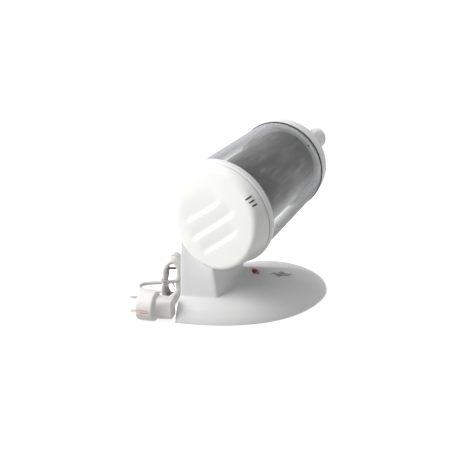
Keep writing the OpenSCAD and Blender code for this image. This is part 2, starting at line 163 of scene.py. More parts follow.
def grid(name, rows, close_start=False, close_end=False, angle=35):
    """Joins rings of the same count of points."""
    n = len(rows[0])
    verts = [p for row in rows for p in row]
    faces = [[j * n + i, j * n + (i + 1) % n, (j + 1) * n + (i + 1) % n, (j + 1) * n + i]
             for j in range(len(rows) - 1) for i in range(n)]
    for wanted, row in ((close_start, 0), (close_end, len(rows) - 1)):
        if wanted:
            verts.append(sum(rows[row], Vector()) / n)
            faces += [[row * n + i, row * n + (i + 1) % n, len(verts) - 1] for i in range(n)]
    return finish_mesh(name, verts, faces, angle)


def box_piece(name, size, matrix, bevel=0.0004):
    """A bevelled block centred on the matrix."""
    mesh = bpy.data.meshes.new(name)
    bm = bmesh.new()
    bmesh.ops.create_cube(bm, size=1, matrix=matrix @ Matrix.Diagonal((*size, 1)))
    bmesh.ops.bevel(bm, geom=list(bm.edges), offset=bevel, segments=3, affect="EDGES")
    bm.to_mesh(mesh)
    bm.free()
    mesh.shade_smooth()
    mesh.set_sharp_from_angle(angle=math.radians(50))
    obj = bpy.data.objects.new(name, mesh)
    bpy.context.scene.collection.objects.link(obj)
    return obj


def line_piece(name, points, radius, cyclic=False, resolution=5):
    """A round strand through points."""
    curve = bpy.data.curves.new(name, "CURVE")
    curve.dimensions = "3D"
    curve.bevel_depth = radius
    curve.bevel_resolution = resolution
    curve.use_fill_caps = True
    spline = curve.splines.new("POLY")
    spline.points.add(len(points) - 1)
    for p, q in zip(spline.points, points):
        p.co = (*q, 1)
    spline.use_cyclic_u = cyclic
    spline.use_smooth = True
    obj = bpy.data.objects.new(name, curve)
    bpy.context.scene.collection.objects.link(obj)
    return obj


def smooth_path(points, step=0.0025):
    """A Catmull-Rom curve through points, sampled about every step."""
    out = []
    for k in range(len(points) - 1):
        a, b, c = points[max(k - 1, 0)], points[k], points[k + 1]
        d = points[min(k + 2, len(points) - 1)]
        n = max(2, round((c - b).length / step))
        for j in range(n):
            t = j / n
            out.append(0.5 * (2 * b + (c - a) * t + (2 * a - 5 * b + 4 * c - d) * t * t
                              + (3 * b - a - 3 * c + d) * t ** 3))
    return out + [points[-1]]


def dress(obj, material, body, slot, *nodes):
    """Gives a piece its material and body, and hides the CAD nodes it stands for; the slot is not used."""
    obj.data.materials.clear()
    obj.data.materials.append(material)
    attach(obj, body)
    if nodes:
        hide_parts(*nodes)
    return obj


# ---------------------------------------------------------------- materials
class Nodes:
    """Short names for building a node tree."""

    def __init__(self, name):
        self.material = bpy.data.materials.new(name)
        self.material.use_nodes = True
        self.tree = self.material.node_tree
        self.shader = self.tree.nodes["Principled BSDF"]

    def add(self, kind, **inputs):
        node = self.tree.nodes.new(kind)
        for key, value in inputs.items():
            node.inputs[key.replace("_", " ")].default_value = value
        return node

    def link(self, a, b):
        self.tree.links.new(a, b)

    def coords(self, scale=(1, 1, 1), turn=(0, 0, 0)):
        """Object coordinates in metres, which are the row frame's."""
        source = self.tree.nodes.new("ShaderNodeTexCoord")
        mapping = self.tree.nodes.new("ShaderNodeMapping")
        mapping.inputs["Scale"].default_value = scale
        mapping.inputs["Rotation"].default_value = turn
        self.link(source.outputs["Object"], mapping.inputs["Vector"])
        return mapping.outputs["Vector"]

    def drum_coords(self, along):
        """Object coordinates turned to the drum's axis and stretched along it."""
        stretch = self.tree.nodes.new("ShaderNodeMapping")
        stretch.inputs["Scale"].default_value = (1, along, 1)
        self.link(self.coords(turn=(-TILT, 0, 0)), stretch.inputs["Vector"])
        return stretch.outputs["Vector"]

    def noise(self, scale, detail=3, vector=None):
        node = self.add("ShaderNodeTexNoise", Scale=scale, Detail=detail)
        self.link(vector or self.coords(), node.inputs["Vector"])
        return node.outputs["Fac"]

    def ramp(self, fac, stops):
        node = self.tree.nodes.new("ShaderNodeValToRGB")
        while len(node.color_ramp.elements) < len(stops):
            node.color_ramp.elements.new(0.5)
        for element, (at, value) in zip(node.color_ramp.elements, stops):
            element.position = at
            element.color = (*value, 1) if len(value) == 3 else value
        self.link(fac, node.inputs["Fac"])
        return node.outputs["Color"]

    def spread(self, fac, low, high):
        node = self.tree.nodes.new("ShaderNodeMapRange")
        node.inputs["To Min"].default_value = low
        node.inputs["To Max"].default_value = high
        self.link(fac, node.inputs["Value"])
        return node.outputs["Result"]

    def bump(self, height, strength, distance=0.0002):
        node = self.add("ShaderNodeBump", Strength=strength, Distance=distance)
        self.link(height, node.inputs["Height"])
        self.link(node.outputs["Normal"], self.shader.inputs["Normal"])

    def set(self, **inputs):
        for key, value in inputs.items():
            self.shader.inputs[key.replace("_", " ")].default_value = value


def plastic(name, light, dark, rough=(0.3, 0.42), grain=1400, bump=0.12, coat=0.0, soft=0.0):
    """Moulded plastic: faint cloudy colour, fine grain and uneven gloss."""
    m = Nodes(name)
    m.link(m.ramp(m.noise(22, 4), [(0.3, dark), (0.7, light)]), m.shader.inputs["Base Color"])
    m.link(m.spread(m.noise(60, 4), *rough), m.shader.inputs["Roughness"])
    m.bump(m.noise(grain, 2), bump, 0.00005)
    m.set(IOR=1.47, Coat_Weight=coat, Coat_Roughness=0.12)
    if soft:
        m.set(Subsurface_Weight=soft, Subsurface_Scale=0.004, Subsurface_Radius=(1.0, 0.9, 0.75))
    return m.material


def clear_plastic(name, tint, edge, ior=1.49, rim=0.0):
    """Clear polished tube: greyer where it is seen edge on, which is painted shade, with the faintest haze
    of handling marks.
    """
    m = Nodes(name)
    m.set(Transmission_Weight=1.0, IOR=ior)
    facing = m.add("ShaderNodeLayerWeight", Blend=0.5).outputs["Facing"]
    # painted shade: the tint turns to the grey edge colour as the surface turns edge on
    m.link(m.ramp(facing, [(0.0, tint), (0.6, tint), (0.88, edge)]), m.shader.inputs["Base Color"])
    m.link(m.spread(m.noise(90, 5), 0.0, 0.05), m.shader.inputs["Roughness"])
    # painted shade: an opaque grey band mixed in where the wall is seen edge on, as much as rim asks for
    if rim:
        solid = m.add("ShaderNodeBsdfDiffuse", Color=(*edge, 1))
        mix = m.tree.nodes.new("ShaderNodeMixShader")
        edge_shade_amount = m.ramp(facing, [(0.58, (0, 0, 0)), (0.8, (rim, rim, rim))])
        m.link(edge_shade_amount, mix.inputs["Fac"])
        m.link(m.shader.outputs["BSDF"], mix.inputs[1])
        m.link(solid.outputs["BSDF"], mix.inputs[2])
        m.link(mix.outputs["Shader"], m.tree.nodes["Material Output"].inputs["Surface"])
    return m.material


def dark_steel():
    """Polished sheet with painted reflection: its near-black colour, soft streaks along the drum and
    clouded patches stand for the dark surroundings it mirrors; fine waves come from the bump.
    """
    m = Nodes("polished sheet with painted dark reflections")
    long, short = m.drum_coords(0.1), m.drum_coords(0.5)
    painted_streak, painted_cloud = m.noise(150, 5, long), m.noise(62, 5, short)
    mix = m.tree.nodes.new("ShaderNodeMath")
    mix.operation = "MULTIPLY_ADD"
    mix.inputs[1].default_value = 0.5
    m.link(painted_streak, mix.inputs[0])
    m.link(m.spread(painted_cloud, -0.02, 0.52), mix.inputs[2])
    # painted reflection: colour from near black to dark grey, standing for the dark surroundings seen in
    # the polished sheet
    m.link(m.ramp(mix.outputs[0], [(0.36, (0.003, 0.003, 0.003)), (0.48, (0.014, 0.0135, 0.0145)),
                                   (0.57, (0.05, 0.048, 0.052)), (0.68, (0.13, 0.13, 0.136))]),
           m.shader.inputs["Base Color"])
    m.link(m.spread(m.noise(80, 4, short), 0.25, 0.5), m.shader.inputs["Roughness"])
    m.bump(m.noise(90, 5, short), 0.5, 0.0008)
    m.set(Metallic=0.6, Specular_IOR_Level=0.2)
    return m.material


def metal(name, light, dark, rough=(0.2, 0.38), metallic=1.0, stretch=(1, 1, 1)):
    """Plain metal with fine scratches."""
    m = Nodes(name)
    vector = m.coords(scale=stretch)
    m.link(m.ramp(m.noise(160, 5, vector), [(0.35, dark), (0.7, light)]), m.shader.inputs["Base Color"])
    m.link(m.spread(m.noise(240, 5, vector), *rough), m.shader.inputs["Roughness"])
    m.bump(m.noise(700, 3, vector), 0.1, 0.00004)
    m.set(Metallic=metallic)
    return m.material


def rubber(name="black rubber", light=(0.035, 0.035, 0.037), dark=(0.012, 0.012, 0.013)):
    """Matt black rubber with a fine skin."""
    m = Nodes(name)
    m.link(m.ramp(m.noise(120, 4), [(0.3, dark), (0.75, light)]), m.shader.inputs["Base Color"])
    m.link(m.spread(m.noise(300, 3), 0.55, 0.8), m.shader.inputs["Roughness"])
    m.bump(m.noise(1500, 2), 0.25, 0.00006)
    return m.material


def red_lens():
    """Translucent red button, darker towards its rim by painted shade."""
    m = Nodes("red translucent button")
    facing = m.add("ShaderNodeLayerWeight", Blend=0.35)
    # painted shade: deep red where the dome turns away from view
    m.link(m.ramp(facing.outputs["Facing"], [(0.1, (0.36, 0.006, 0.012)), (0.8, (0.09, 0.002, 0.004))]),
           m.shader.inputs["Base Color"])
    m.link(m.spread(m.noise(400, 3), 0.14, 0.26), m.shader.inputs["Roughness"])
    m.set(Coat_Weight=0.6, Coat_Roughness=0.06, Subsurface_Weight=0.15, Subsurface_Scale=0.002)
    return m.material


def circuit_board():
    """Green board with a fine pattern of tracks."""
    m = Nodes("green circuit board")
    brick = m.tree.nodes.new("ShaderNodeTexBrick")
    brick.inputs["Scale"].default_value = 240
    brick.inputs["Color1"].default_value = (0.01, 0.09, 0.03, 1)
    brick.inputs["Color2"].default_value = (0.015, 0.12, 0.04, 1)
    brick.inputs["Mortar"].default_value = (0.04, 0.2, 0.08, 1)
    m.link(m.coords(), brick.inputs["Vector"])
    m.link(brick.outputs["Color"], m.shader.inputs["Base Color"])
    m.link(m.spread(m.noise(500, 3), 0.3, 0.5), m.shader.inputs["Roughness"])
    return m.material


SHELL = plastic("satin white plastic", (0.81, 0.81, 0.813), (0.78, 0.78, 0.787), rough=(0.34, 0.44))
COVER = plastic("milky white plastic", (0.84, 0.84, 0.81), (0.80, 0.80, 0.775), rough=(0.26, 0.38),
                coat=0.25, soft=0.12)
GREY = plastic("light grey plastic", (0.52, 0.53, 0.54), (0.45, 0.46, 0.47), rough=(0.4, 0.55))
# painted shadow: the base plate is dark so the gap under the stand's edge shows a shadow line
SHADOW_LINE_PLATE = plastic("plate painted dark for the shadow line", (0.16, 0.16, 0.165), (0.11, 0.11, 0.115), rough=(0.45, 0.6))
# The edge colours of CLEAR and QUARTZ, and CLEAR's rim mix, are painted shade along the walls seen edge on.
CLEAR = clear_plastic("clear acrylic", (0.97, 0.975, 0.975), (0.42, 0.42, 0.45), ior=1.36, rim=0.85)
QUARTZ = clear_plastic("clear quartz", (0.95, 0.97, 0.99), (0.7, 0.74, 0.8), ior=1.46)
LAMP = plastic("frosted lamp glass", (0.8, 0.8, 0.88), (0.72, 0.72, 0.82), rough=(0.12, 0.25), bump=0.03)
# the reflector's sheet, whose dark colour and streaks are painted reflection
PAINTED_REFLECTION_SHEET = dark_steel()
STEEL = metal("plain steel", (0.6, 0.6, 0.62), (0.42, 0.42, 0.44))
NICKEL = metal("nickel plate", (0.68, 0.67, 0.64), (0.5, 0.49, 0.47), rough=(0.12, 0.25))
COPPER = metal("tarnished copper strip", (0.7, 0.49, 0.47), (0.58, 0.37, 0.35), rough=(0.35, 0.5),
               metallic=0.35)
WINDING = metal("enamelled copper winding", (0.55, 0.3, 0.1), (0.3, 0.14, 0.04), metallic=0.8)
RUBBER = rubber()
SEAL = rubber("black seal", (0.02, 0.02, 0.024), (0.006, 0.006, 0.008))
BOARD = circuit_board()
DARK = plastic("dark moulded plastic", (0.06, 0.06, 0.065), (0.035, 0.035, 0.04), rough=(0.4, 0.6))
IVORY = plastic("ivory plastic", (0.78, 0.75, 0.66), (0.7, 0.67, 0.58), rough=(0.4, 0.55))
RED = red_lens()
SHEATH = plastic("white cord sheath", (0.74, 0.73, 0.69), (0.62, 0.61, 0.575), rough=(0.32, 0.48),
                 grain=900, bump=0.2)
PLUG = plastic("white moulded plug", (0.79, 0.78, 0.75), (0.71, 0.70, 0.67), rough=(0.34, 0.48),
               grain=1000, bump=0.2)
TIE = plastic("pale tie wrap", (0.5, 0.49, 0.47), (0.4, 0.39, 0.37), rough=(0.4, 0.55))
INK = plastic("dark grey ink", (0.07, 0.07, 0.075), (0.045, 0.045, 0.05), rough=(0.4, 0.6))


# ---------------------------------------------------------------- camera
CAMERA_AT, CAMERA_LENS = (0.2708, -0.412, 0.2653), 34.4
CAMERA_AROUND, CAMERA_DOWN = math.radians(33.28), math.radians(16)


def camera():
    """At the photograph's angle: round to the right and a little down."""
    data = bpy.data.cameras.new("camera")
    data.sensor_width, data.lens = 36, CAMERA_LENS
    obj = bpy.data.objects.new("camera", data)
    bpy.context.scene.collection.objects.link(obj)
    side, ahead, level = math.sin(CAMERA_AROUND), math.cos(CAMERA_AROUND), math.cos(CAMERA_DOWN)
    look = Vector((-side * level, ahead * level, -math.sin(CAMERA_DOWN)))
    obj.location = place(*CAMERA_AT)
    obj.rotation_mode = "QUATERNION"
    obj.rotation_quaternion = look.to_track_quat("-Z", "Y")
    bpy.context.scene.camera = obj


camera()


# ---------------------------------------------------------------- cord, hank and plug
GLAND_AT = (-58, 75, 8.5)
CORD_RUN = [(-58, 75, 8.5), (-74, 75, 8.5), (-90, 75, 8.4), (-103, 73, 5.6), (-115, 66, 3.2),
            (-125, 54, 2.9), (-134.7, 41.5, 2.9), (-146, 32, 2.9), (-155.5, 23, 2.9), (-158.3, 13.5, 2.9),
            (-152.5, 4, 2.9), (-142, 1, 2.9), (-131, 5.5, 2.9), (-124, 8.6, 2.95), (-117.4, 11.8, 4.6),
            (-112, 13.6, 11), (-109.2, 14.4, 21)]
LEAD_RUN = [(-68.2, -8.6, 30), (-67.2, -10.5, 27.6), (-65, -14.5, 26.6), (-62.4, -19, 26.8),
            (-61.1, -23, 26.3), (-60.9, -25.5, 25.5)]
TURNS, TIE_Z = 8, 39 * MM
HANK_X = Vector((math.cos(HANK_TURN), math.sin(HANK_TURN), 0))
HANK_Y = Vector((-math.sin(HANK_TURN), math.cos(HANK_TURN), 0))


def hank_point(w, d, z):
    """w across the loops, d from the front to the back; the loops lean to the right as they rise."""
    lean = -2 * MM - 5 * MM * (1 - z / HANK_H)
    return place(*HANK_AT[:2]) + HANK_X * (w + lean) + HANK_Y * d + Vector((0, 0, z))


def hank_turns():
    """Upright loops wound from the back to the front and drawn in at the tie, no two quite alike."""
    half_w, half_h, mid = HANK_W / 2 - CORD_R, HANK_H / 2 - CORD_R, HANK_H / 2
    points, per_turn = [], 36
    count = round((TURNS - 0.5) * per_turn)
    for k in range(count + 1):
        turn = k / per_turn
        around = 2 * math.pi * (turn % 1)
        bulge = math.copysign(abs(math.sin(around)) ** 0.75, math.sin(around))
        slack = 1 - 0.05 * (1 + math.sin(2.3 * turn)) * max(0, bulge)
        z = mid + bulge * half_h * slack
        pinch = 1 - 0.2 * math.exp(-((z - TIE_Z) / (9 * MM)) ** 2)
        d = HANK_D - CORD_R - (HANK_D - 2 * CORD_R) * k / count
        points.append(hank_point(-half_w * math.cos(around) * pinch, d, z))
    return points


def cord():
    """The whole cord as one strand: along the floor, round the hank and into the plug."""
    run = [place_mm(*p) for p in CORD_RUN]
    to_plug = [place_mm(*p) for p in LEAD_RUN]
    route = smooth_path(run + hank_turns()[2:] + to_plug, 0.003)
    strand = line_piece("power_lead", route, CORD_R)
    dress(strand, SHEATH, "stand", "cord_sheath", "power_cord", "cord_hank", "plug_lead")
    length = sum((b - a).length for a, b in zip(route, route[1:]))
    print("cord length", round(length, 3))
    return strand


def tie():
    """A flat pale band round the waist of the hank with two short twisted ends."""
    half_w, half_d, corner = HANK_W / 2 * 0.8 + 1.2 * MM, HANK_D / 2, 5 * MM
    ring = []
    for cx, cy, start in ((1, 1, 0), (-1, 1, 90), (-1, -1, 180), (1, -1, 270)):
        for k in range(8):
            a = math.radians(start + 90 * k / 7)
            ring.append((cx * (half_w - corner) + corner * math.cos(a),
                         half_d + cy * (half_d + 0.4 * MM - corner) + corner * math.sin(a)))
    rows = []
    for dz, out in ((-1.6, 0), (-1.6, 0.9), (-1.0, 1.2), (1.0, 1.2), (1.6, 0.9), (1.6, 0)):
        wider, deeper = 1 + out * MM / half_w, 1 + out * MM / half_d
        z = TIE_Z + dz * MM
        rows.append([hank_point(w * wider, half_d + (d - half_d) * deeper, z) for w, d in ring])
    rows.append(rows[0])
    dress(grid("cord_tie_band", rows), TIE, "stand", "cord_sheath", "cord_tie")
    for sign in (-1, 1):
        tail = []
        for k in range(8):
            w, d = sign * (0.6 + 0.7 * k) * MM, (-0.4 - 0.5 * math.sin(k * 1.3)) * MM
            tail.append(hank_point(w, d, TIE_Z + (1 - k * 1.2) * MM))
        dress(line_piece("cord_tie_tail", tail, 0.9 * MM), TIE, "stand", "cord_sheath")


def turn_about(axis, degrees):
    return Matrix.Rotation(math.radians(degrees), 4, axis)


def at_mm(x, y, z):
    """A move to a point of the design frame, given in millimetres."""
    return Matrix.Translation(place_mm(x, y, z))


def plug_matrix():
    """Local z runs from the pins to the grip, and local x is down."""
    return at_mm(*PLUG_AT) @ turn_about("Z", PLUG_TURN) @ turn_about("Y", 90)


def plug_grip(m):
    """From a round neck to an upright block with hollowed sides and a rounded end."""
    start, length, steps, seg = 9.2, 20.8, 20, 64
    rows = []
    for k in range(steps + 1):
        t = k / steps
        square = min(1, t * 1.35)
        high, deep = 14.2 - 1.8 * t, 14.2 - 5.4 * t ** 0.8 - 0.9 * math.sin(math.pi * t)
        power = 2 / (2 + 3.2 * square)
        row = []
        for j in range(seg):
            a = 2 * math.pi * j / seg
            c, d = math.cos(a), math.sin(a)
            x, y = (math.copysign(abs(e) ** power, e) for e in (c, d))
            row.append(m @ (Vector((high * x, deep * y, start + length * t)) * MM))
        rows.append(row)
    last, centre = rows[steps], sum(rows[steps], Vector()) / seg
    out = (m.to_3x3() @ Vector((0, 0, 1))).normalized()
    for inset, back in ((0.25, 0.25), (0.7, 0.5), (1.4, 0.62)):
        rows.append([p + (centre - p).normalized() * inset * MM + out * back * MM for p in last])
    return grid("plug_grip", rows, True, True, angle=60)


def plug_head(m):
    """The round head with a groove on each side for its earth strip."""
    r, seg = PLUG_R / MM, 128
    body = [(0, -12.5, 0), (r - 1.6, -12.5, 0), (r - 0.2, -12.5, 1.4), (r, -9.5, 1), (r, 7.4, 2),
            (r - 1.6, 9.2, 1.4), (14.4, 9.7, 0.6), (0, 9.7, 0)]
    head = revolve("plug_head", profile(body), m, seg=seg)
    grooves = []
    for turn in (90, -90):
        at = m @ turn_about("Z", turn) @ Matrix.Translation((r * MM, 0, -4.6 * MM))
        grooves.append(box_piece("groove", (6.2 * MM, 5.2 * MM, 19.4 * MM), at, 0.0008))
    carve(head, grooves)
    dress(head, PLUG, "stand", "plug_plastic", "plug_body")


def plug_pins(m):
    """Two round pins, each with a small collar at the head."""
    for across in (-9.5, 9.5):
        at = m @ Matrix.Translation((across * MM, 0, 0))
        pin = [(0, -28, 0), (1.1, -28, 0.5), (2.35, -26.6, 0.9), (2.4, -24, 0), (2.4, -11, 0), (0, -11, 0)]
        obj = revolve("plug_pin", profile(pin), at, seg=48)
        dress(obj, NICKEL, "stand", "nickel", "plug_pins")
        collar = [(2.4, -13.3, 0), (3.5, -13.3, 0.3), (3.5, -12.4, 0), (2.4, -12.4, 0)]
        obj = revolve("pin_collar", profile(collar, True), at, True, seg=48)
        dress(obj, PLUG, "stand", "plug_plastic")


def earth_strips(m):
    """A bowed metal strip in each side groove."""
    steps = 16
    for turn in (90, -90):
        at = m @ turn_about("Z", turn)
        rows = []
        for k in range(steps + 1):
            z, x = -12 + 16.4 * k / steps, PLUG_R / MM - 2.4 + 0.9 * math.sin(math.pi * k / steps)
            section = ((-2.1, x - 0.4), (-2.1, x), (-1.7, x + 0.3),
                       (1.7, x + 0.3), (2.1, x), (2.1, x - 0.4))
            rows.append([at @ Vector((d * MM, w * MM, z * MM)) for w, d in section])
        dress(grid("earth_strip", rows, True, True), COPPER, "stand", "earth_copper", "plug_earth_clips")


def ribs(first_r, step_r, first_z, pitch, land, groove):
    """Six shallow ribs of a tapered strain relief; each is a land and then a groove."""
    points = []
    for k in range(6):
        r, z = first_r - step_r * k, first_z + pitch * k
        points += [(r, z, land[0]), (r - land[1], z + land[2], land[0])]
        points += [(r - g, z + up, groove[0]) for g, up in groove[1:]]
    return points


def plug():
    """Round mains plug on its side: pins to the left, block grip and ribbed boot to the right."""
    m = plug_matrix()
    plug_head(m)
    dress(plug_grip(m), PLUG, "stand", "plug_plastic")
    plug_pins(m)
    earth_strips(m)
    end = BOOT_L / MM
    boot_at = at_mm(*BOOT_AT) @ turn_about("Z", BOOT_TURN) @ turn_about("Y", BOOT_TILT)
    boot = [(0, 0, 0), (6.2, 0, 0)]
    boot += ribs(6.0, 0.4, 1.5, 3, (0.4, 0, 1.7), (0.3, (1.0, 2.1), (1.1, 2.7)))
    boot += [(3.8, end - 0.4, 0.5), (2.85, end, 0.2), (2.85, end - 3, 0)]
    obj = revolve("plug_strain_relief", profile(boot), boot_at, seg=64)
    dress(obj, PLUG, "stand", "plug_plastic", "plug_boot")


def carve(obj, cutters):
    """Cuts pieces out of a mesh and removes them."""
    for cutter in cutters:
        mod = obj.modifiers.new("cut", "BOOLEAN")
        mod.object, mod.operation, mod.solver = cutter, "DIFFERENCE", "EXACT"
        with bpy.context.temp_override(object=obj, active_object=obj, selected_objects=[obj]):
            bpy.ops.object.modifier_apply(modifier=mod.name)
        bpy.data.objects.remove(cutter)
    obj.data.shade_smooth()
    obj.data.set_sharp_from_angle(angle=math.radians(35))


def gland():
    """Tapered, ribbed grommet where the cord leaves the stand."""
    at = at_mm(0, *GLAND_AT[1:]) @ turn_about("Y", -90)
    wall, end = 69, 69 + RELIEF_L / MM
    points = [(2.85, 57, 0), (4.9, 57, 0.3), (4.9, 66.6, 0), (7, 67, 0.6), (7, wall, 0.6), (5.6, 69.4, 0.3)]
    points += ribs(5.7, 0.36, 70.4, 3.1, (0.3, 0.1, 1.8), (0.2, (0.8, 2.1), (0.9, 2.8)))
    points += [(3.7, end - 0.4, 0.3), (2.85, end, 0.1)]
    obj = revolve("cord_grommet", profile(points, True), at, True, seg=64)
    dress(obj, PLUG, "stand", "plug_plastic", "cord_gland")


lead = cord()
tie()
plug()
gland()


# ---------------------------------------------------------------- stand
SEGMENTS = (((-45, -45), (42, -12), (84, 43), (84, 118)),
            ((84, 118), (84, 165), (52, 208), (5, 208)),
            ((5, 208), (-37, 208), (-66, 155), (-66, 90)),
            ((-66, 90), (-66, 40), (-56, -10), (-45, -45)))
FOOT = ((-53, -24, 28), (-11, 0, 26), (-13, 68, 46), (-52, 58, 40))
TOP = ((-61, -9), (-17, -2), (-17, 66), (-60, 56))
FINE = 4                                     # outline samples here for each one in the CAD
SIDE_STARTS = tuple(FINE * k for k in (0, 5, 20, 36, 52))


def bezier(p, t):
    """A point of the cubic curve with the corners p."""
    weights = ((1 - t) ** 3, 3 * (1 - t) ** 2 * t, 3 * (1 - t) * t * t, t ** 3)
    return tuple(sum(w * c[k] for w, c in zip(weights, p)) for k in (0, 1))


def ring_point(corners, i):
    """The point of a four-cornered ring that outline sample i is joined to."""
    k = max(j for j in range(4) if i >= SIDE_STARTS[j])
    t = (i - SIDE_STARTS[k]) / (SIDE_STARTS[k + 1] - SIDE_STARTS[k])
    return [a * (1 - t) + b * t for a, b in zip(corners[k], corners[(k + 1) % 4])]


def eased(row, passes):
    """Rounds the corners of a ring a little."""
    n = len(row)
    for _ in range(passes):
        row = [row[i - 1] * 0.25 + row[i] * 0.5 + row[(i + 1) % n] * 0.25 for i in range(n)]
    return row


def rise(t):
    """Height of the dome between its lower edge (0) and the foot of the neck (1)."""
    return math.sin(math.pi / 2 * t ** 0.6) * 0.65 + 0.35 * t * t


def under_drum(x, y):
    """Height of the drum's underside above a point of the design frame."""
    return AXIS_H + y * math.tan(TILT) - math.sqrt(max(0, RIM_R ** 2 - x * x)) / CT


def stand_shell():
    """The dome, the neck that grows out of it and the saddle under the drum, as one skin."""
    n, dome_steps, neck_steps, saddle_steps = SIDE_STARTS[4], 44, 16, 8
    outline = [[c * MM for c in bezier(s, i / (n / 4))] for s in SEGMENTS for i in range(n // 4)]
    foot = [[c * MM for c in ring_point(FOOT, i)] for i in range(n)]
    top = [[c * MM for c in ring_point(TOP, i)] for i in range(n)]
    mid = [sum(c[k] for c in FOOT) / 4 * MM for k in (0, 1)]

    def level(t, i, inset=0.0):
        o, f = outline[i], foot[i]
        x, y = (o[k] + (f[k] - o[k]) * t for k in (0, 1))
        away = math.hypot(x - mid[0], y - mid[1])
        x, y = (c + (m - c) * inset / away for c, m in ((x, mid[0]), (y, mid[1])))
        swell = 4 * MM * min(1, 3 * t) * (1 - t)
        return place(x, y, FOOT_GAP + (f[2] - FOOT_GAP) * rise(t) + swell)

    rows = [[level(0, i, SHELL_T) + Vector((0, 0, 2 * MM)) for i in range(n)],
            [level(0, i, SHELL_T) for i in range(n)],
            [level(0, i, 0.5 * MM) for i in range(n)]]
    for k in range(dome_steps + 1):
        t = (k / dome_steps) ** 1.7
        rows.append(eased([level(t, i) for i in range(n)], 2))
    base = [level(1, i) for i in range(n)]
    peak = [place(x, y, under_drum(x, y)) for x, y in top]
    for k in range(1, neck_steps + 1):
        rows.append(eased([a.lerp(b, k / neck_steps) for a, b in zip(base, peak)], 3))
    middle = place_mm(*(sum(c[k] for c in TOP) / 4 for k in (0, 1)))
    edge = rows[-1]
    for k in range(1, saddle_steps + 1):
        ring = [p.lerp(middle, k / (saddle_steps + 1)) for p in (edge if k == 1 else peak)]
        rows.append([Vector((p.x, p.y, under_drum(p.x - OFF_X, p.y - OFF_Y))) for p in ring])
    return grid("stand_moulding", rows, close_end=True, angle=38)


def surface(obj, x, y):
    """The point of the shell straight above (x, y), and its normal."""
    hit, point, normal, _ = obj.ray_cast(place(x, y, 0.1), Vector((0, 0, -1)))
    if not hit:
        point, normal = place(x, y, 0.03), Vector((0, 0, 1))
    return point, normal


BUTTON_AT = (1 * MM, 76 * MM)


def button(shell):
    """A low domed red lens that follows the slope, in a round hole with a thin seat ring."""
    point, normal = surface(shell, *BUTTON_AT)
    leaning = Vector((normal.x * 0.8, normal.y * 0.8, normal.z))
    slope = Vector((0, 0, 1)).rotation_difference(leaning)
    at = Matrix.Translation(point + Vector((0, 0, 1.0 * MM))) @ slope.to_matrix().to_4x4()
    carve(shell, [revolve("hole", profile([(0, -9, 0), (5.3, -9, 0), (5.3, 6, 0), (0, 6, 0)]), at, seg=64)])
    dome = [(0, 1.5, 0), (2.5, 1.35, 0), (4.2, 0.8, 0.8), (4.95, 0.1, 0.6), (5, -5.5, 0), (0, -5.5, 0)]
    lens = revolve("power_lens", profile(dome), at, seg=64)
    dress(lens, RED, "button", "red_lens", "power_button")
    ring = [(5.06, -4.6, 0), (5.28, -4.6, 0), (5.28, -2.4, 0.05), (5.06, -2.4, 0.05)]
    seat = revolve("button_seat", profile(ring, True), at, True, seg=64)
    dress(seat, GREY, "stand", "grey_plate")


INK_LOW, INK_HIGH = 0.02 * MM, 0.18 * MM      # an ink layer's underside and top above the surface


def ink_rows(left, right, high=INK_HIGH):
    """Rings of a thin raised stroke between two edges of (point, normal) pairs."""
    return [[p + n * INK_LOW, p + n * high, q + o * high, q + o * INK_LOW]
            for (p, n), (q, o) in zip(left, right)]


def wave_mark(shell):
    """Three small parallel waves printed on the dome, as a generic mark."""
    start, end, steps = Vector((15, 93)), Vector((40, 115.5)), 48
    along = (end - start).normalized()
    across = Vector((-along.y, along.x))
    strokes = ((-3.6, 0.0, 0.66, 0.85), (0.0, 0.14, 0.86, 1.1), (3.6, 0.36, 1.0, 0.85))
    for shift, first, last, wide in strokes:
        left, right = [], []
        for j in range(steps + 1):
            s = j / steps
            at = first + (last - first) * s
            p = start + (end - start) * at + across * (shift + 1.7 * math.sin(2 * math.pi * at * 2.2))
            w = wide * math.sin(math.pi * min(0.95, max(0.05, s))) ** 0.5
            for side, out in ((left, w), (right, -w)):
                q = p + across * out
                side.append(surface(shell, q.x * MM, q.y * MM))
        stroke = grid("wave_stroke", ink_rows(left, right), True, True, angle=60)
        dress(stroke, INK, "stand", "mark_grey")


# ---------------------------------------------------------------- drum
def ring_piece(name, points, at, material, body, slot, *nodes, seg=144, steps=6):
    """A ring with a closed section, given in millimetres."""
    ring = revolve(name, profile(points, True, steps), at, True, seg=seg)
    return dress(ring, material, body, slot, *nodes)


def drill(r, start, end, at, seg=32):
    """A round cutter between two levels, in millimetres."""
    return revolve("hole", profile([(0, start, 0), (r, start, 0), (r, end, 0), (0, end, 0)]), at, seg=seg)


def flange():
    """The front rim with the groove that holds the tube, and the collar that the cover twists on."""
    pts = [(20, -5, 0.3), (56, -5, 0.5), (56, -9, 0.6), (64.6, -9, 0), (66, -7.6, 1.4), (66, -1.6, 1.2),
           (64.6, 0, 1.2), (63.62, 0, 0.2), (63.62, -6, 0), (60.4, -6, 0), (60.4, 0, 0.3), (20, 0, 0.3)]
    ring_piece("flange_ring", pts, drum_matrix(), SHELL, "stand", "white_shell", "front_housing", seg=192)
    pts = [(40, -12.4, 0.4), (44, -12.4, 0.4), (44, -5, 0), (40, -5, 0)]
    ring_piece("bayonet_collar", pts, drum_matrix(), SHELL, "stand", "white_shell")


def tube():
    """The clear sleeve, seated in the front rim."""
    inner, outer, end = TUBE_R / MM - TUBE_T / MM, TUBE_R / MM, TUBE_L / MM
    pts = [(inner, -5.8, 0.2), (outer, -5.8, 0.2), (outer, end, 0.3), (inner, end, 0.3)]
    ring_piece("clear_sleeve", pts, drum_matrix(), CLEAR, "stand", "clear_tube", "clear_tube",
               seg=192, steps=3)


